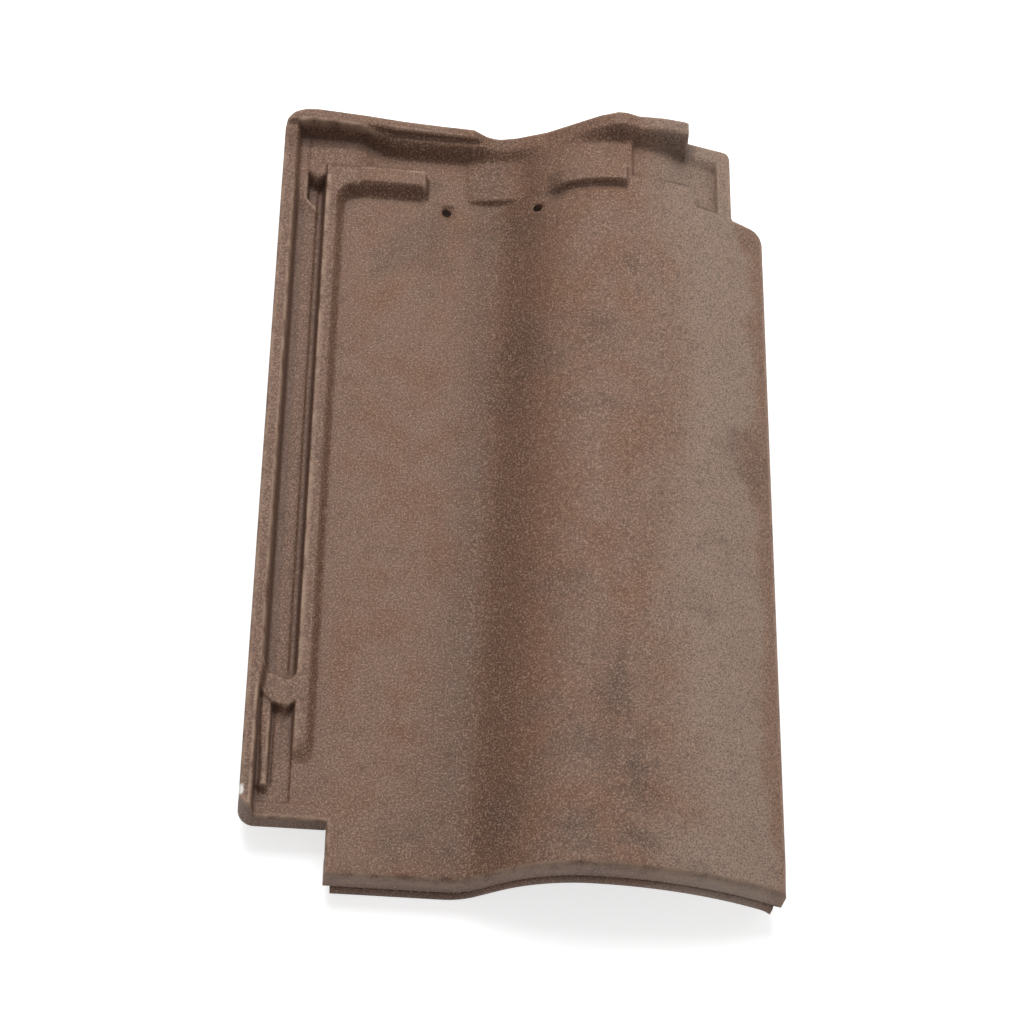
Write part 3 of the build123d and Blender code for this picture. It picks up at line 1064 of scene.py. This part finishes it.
    def marks(self, points: Grid, is_top: Grid) -> dict[Source, Grid]:
        """Shares that the finish reads at each point.

        Steep, painted shade, grows with the slope of the upper face. Valley, painted shade, is a bell
        curve beside the roll's foot. The dark spots' mark is the strongest of them, kiln spots and painted
        shade. Edge, a painted highlight, is one on the outline and where a point stands proud of the mean
        of four places beside it. Lock is one on the side lock. Crease, painted shade, is one where a point
        lies below that mean, and painted shadow on a line along the cover's head edge. Chip is one in a
        small spot on the rim near the tail.

        Args:
            points: all points of the skin.
            is_top: which of them lie on the upper face.

        Returns:
            Arrays of values from nought to one, by mark.
        """
        wear_and_shading = self.wear_and_shading
        x, y, z = points.T
        hollow = (self.around(x, y, wear_and_shading.near_reach) - z) * is_top
        wide_hollow = (self.around(x, y, wear_and_shading.wide_reach) - z) * is_top
        # Painted shade in hollows, at a near and a wide reach
        crease_shade = np.maximum(ramp(hollow, 0.2, 2.2), wear_and_shading.wide_share * ramp(wide_hollow, 0.7, 3.2))
        # Line of painted shadow along the cover's head edge
        line = band(y - self.head.cover_edge(x), -1.0, 0.2, 0.7) * band(x, 203, 232, 8) * is_top
        # Painted highlight on ridges that stand proud, kept off the cover's edge, and along the outline
        calm = ramp(x, 184, 188) * ramp(y, 403, 400)
        proud = ramp(-hollow, 0.5, 2.2) * (1 - calm)
        edge = ramp(self.border(x, y), 2.6, 0.4) * is_top

        foot = self.wave.pan_right + self.wave.flank_taper * y / self.wave.length + wear_and_shading.valley_shift
        valley_width = wear_and_shading.valley_width + wear_and_shading.valley_growth * ramp(y, 160, 20)
        smudge_and_shade = np.maximum.reduce([spot.at(x, y) for spot in wear_and_shading.dark_spots])
        step = wear_and_shading.slope_step
        along = (self.top(x, y + step) - self.top(x, y - step)) / (2 * step)
        across = (self.top(x + step, y) - self.top(x - step, y)) / (2 * step)
        chip_x, chip_y = (
            (value - place) / size for value, place, size in zip((x, y), wear_and_shading.chip_place, wear_and_shading.chip_size)
        )
        return {
            Source.STEEP_SHADE: np.where(is_top, ramp(np.hypot(across, along), 0.15, 1.3), wear_and_shading.slope_below),
            Source.VALLEY_SHADE: np.exp(-(((x - foot) / valley_width) ** 2)),
            Source.SMUDGE_AND_SHADE: smudge_and_shade * is_top,
            Source.EDGE_HIGHLIGHT: np.maximum(edge, proud),
            Source.LOCK: ramp(x, 44, 36) * ramp(z, 10, 20),
            Source.CREASE_SHADE: np.maximum(crease_shade, line),
            Source.CHIP: ramp(np.hypot(chip_x, chip_y), 1.0, 0.6) * ramp(z, 33, 36),
        }

    def mesh(self) -> bpy.types.Mesh:
        """Make the closed mesh.

        Returns:
            A mesh in metres, centred in plan, with one attribute for each mark.
        """
        points, faces, is_top = self.closed()
        centre = np.array([self.wave.width / 2, self.wave.length / 2, 0.0])
        mesh = bpy.data.meshes.new("tile_skin")
        mesh.from_pydata((points - centre) * MM, [], faces)
        mesh.polygons.foreach_set("use_smooth", np.ones(len(faces), dtype=bool))
        for mark, values in self.marks(points, is_top).items():
            layer = mesh.attributes.new(mark.value, "FLOAT", "POINT")
            layer.data.foreach_set("value", values.astype(np.float32))
        mesh.update()
        return mesh

    def build(self, clay: bpy.types.Material) -> bpy.types.Object:
        """Make the finished piece and tie it to the frame.

        Args:
            clay: the tile's material.

        Returns:
            The finished object.
        """
        skin = bpy.data.objects.new("tile_skin", self.mesh())
        bpy.context.scene.collection.objects.link(skin)
        skin.data.materials.append(clay)
        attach(skin, "root")
        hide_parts("verge_tile")
        return skin


@dataclass(frozen=True)
class Lamp:
    """A square soft light that looks at the tile: its name, its place, its side and its watts."""

    name: str
    place: tuple[float, float, float]
    size: float
    power: float

    def build(self) -> None:
        """Hang the light."""
        data = bpy.data.lights.new(self.name, "AREA")
        data.size = self.size
        data.energy = self.power
        lamp = bpy.data.objects.new(self.name, data)
        bpy.context.scene.collection.objects.link(lamp)
        lamp.location = self.place
        lamp.rotation_euler = (-Vector(self.place)).to_track_quat("-Z", "Y").to_euler()


@dataclass(frozen=True)
class Studio:
    """Plain pale floor, white surroundings, soft lights and the camera."""

    floor_size: float = 8.0
    floor_colour: str = "#E2E2E2"
    floor_roughness: float = 0.9
    floor_glow: float = 0.70
    white: str = "#FFFFFF"
    surround: float = 0.24
    lamps: tuple[Lamp, ...] = (
        Lamp("key", (-0.15, 0.75, 1.9), size=1.2, power=33.0),
        Lamp("fill", (1.6, 0.6, 1.1), size=1.4, power=4.0),
    )
    elevation: float = 59.72
    azimuth: float = 10.8
    roll: float = 13.41
    distance: float = 1.35059
    target: tuple[float, float, float] = (-0.00338, -0.01599, 0.030)
    lens: float = 94.397

    def white_rays(self, tree: bpy.types.NodeTree) -> bpy.types.NodeSocket:
        """One for camera, glossy and transmission rays, nought for the rest.

        Args:
            tree: node tree of the world or the floor.

        Returns:
            The socket that carries the share.
        """
        path = add_node(tree, NodeSpec("ShaderNodeLightPath"))
        total = path.outputs["Is Camera Ray"]
        for name in ("Is Glossy Ray", "Is Transmission Ray"):
            spec = NodeSpec("ShaderNodeMath", {0: total, 1: path.outputs[name]}, {"operation": "MAXIMUM"})
            total = add_node(tree, spec).outputs["Value"]
        return total

    def world(self) -> None:
        """Surround the scene with plain light that looks white to the camera."""
        world = bpy.data.worlds.new("studio")
        bpy.context.scene.world = world
        world.use_nodes = True
        tree = world.node_tree
        tree.nodes.clear()
        light, seen = (
            add_node(tree, NodeSpec("ShaderNodeBackground", {"Color": linear(self.white), "Strength": power}))
            for power in (self.surround, 1.0)
        )
        inputs = {0: self.white_rays(tree), 1: light.outputs[0], 2: seen.outputs[0]}
        mix = add_node(tree, NodeSpec("ShaderNodeMixShader", inputs))
        add_node(tree, NodeSpec("ShaderNodeOutputWorld", {"Surface": mix.outputs[0]}))

    def board(self) -> bpy.types.Material:
        """Pale matt board whose own light brings it up to white for the camera.

        Returns:
            The floor's material.
        """
        board = bpy.data.materials.new("pale_board")
        board.use_nodes = True
        tree = board.node_tree
        shader = tree.nodes["Principled BSDF"]
        shader.inputs["Base Color"].default_value = linear(self.floor_colour)
        shader.inputs["Roughness"].default_value = self.floor_roughness
        inputs = {0: self.white_rays(tree), 1: self.floor_glow}
        strength = add_node(tree, NodeSpec("ShaderNodeMath", inputs, {"operation": "MULTIPLY"}))
        inputs = {"Color": linear(self.white), "Strength": strength.outputs["Value"]}
        glow = add_node(tree, NodeSpec("ShaderNodeEmission", inputs))
        both = add_node(tree, NodeSpec("ShaderNodeAddShader", {0: shader.outputs[0], 1: glow.outputs[0]}))
        tree.links.new(both.outputs[0], tree.nodes["Material Output"].inputs["Surface"])
        return board

    def floor(self) -> bpy.types.Object:
        """Lay the floor.

        Returns:
            The floor, marked as no part of the object.
        """
        half = self.floor_size / 2
        corners = [(-half, -half, 0), (half, -half, 0), (half, half, 0), (-half, half, 0)]
        mesh = bpy.data.meshes.new("floor")
        mesh.from_pydata(corners, [], [(0, 1, 2, 3)])
        mesh.materials.append(self.board())
        floor = bpy.data.objects.new("floor", mesh)
        bpy.context.scene.collection.objects.link(floor)
        floor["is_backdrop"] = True
        return floor

    def camera(self) -> bpy.types.Object:
        """Place the camera at the measured view: azimuth about z, elevation, then roll.

        Returns:
            The camera.
        """
        e, a, r = (math.radians(v) for v in (self.elevation, self.azimuth, self.roll))
        forward = Vector((math.sin(a) * math.cos(e), math.cos(a) * math.cos(e), -math.sin(e)))
        right = Vector((math.cos(a), -math.sin(a), 0))
        up = right.cross(forward)
        turned_right = math.cos(r) * right + math.sin(r) * up
        turned_up = math.cos(r) * up - math.sin(r) * right
        data = bpy.data.cameras.new("camera")
        data.lens = self.lens
        camera = bpy.data.objects.new("camera", data)
        bpy.context.scene.collection.objects.link(camera)
        matrix = Matrix((turned_right, turned_up, -forward)).transposed().to_4x4()
        matrix.translation = Vector(self.target) - self.distance * forward
        camera.matrix_world = matrix
        bpy.context.scene.camera = camera
        return camera

    def build(self) -> None:
        """Set up the whole studio."""
        self.world()
        self.floor()
        for lamp in self.lamps:
            lamp.build()
        self.camera()
        bpy.context.scene.view_settings.view_transform = "Standard"


def main() -> None:
    """Build the tile and the studio."""
    logging.basicConfig(level=logging.INFO, format="%(name)s: %(message)s")
    cad = [list(corner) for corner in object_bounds()]
    width, length = ((cad[1][axis] - cad[0][axis]) / MM for axis in (0, 1))
    clay = EngobedClay().build()
    skin = TileSkin(Wave(round(width, 3), round(length, 3))).build(clay)
    log.info("%s: %d points, %d faces", skin.name, len(skin.data.vertices), len(skin.data.polygons))
    Studio().build()
    log.info("studio: floor, lights and camera")


if __name__ == "__main__":
    main()
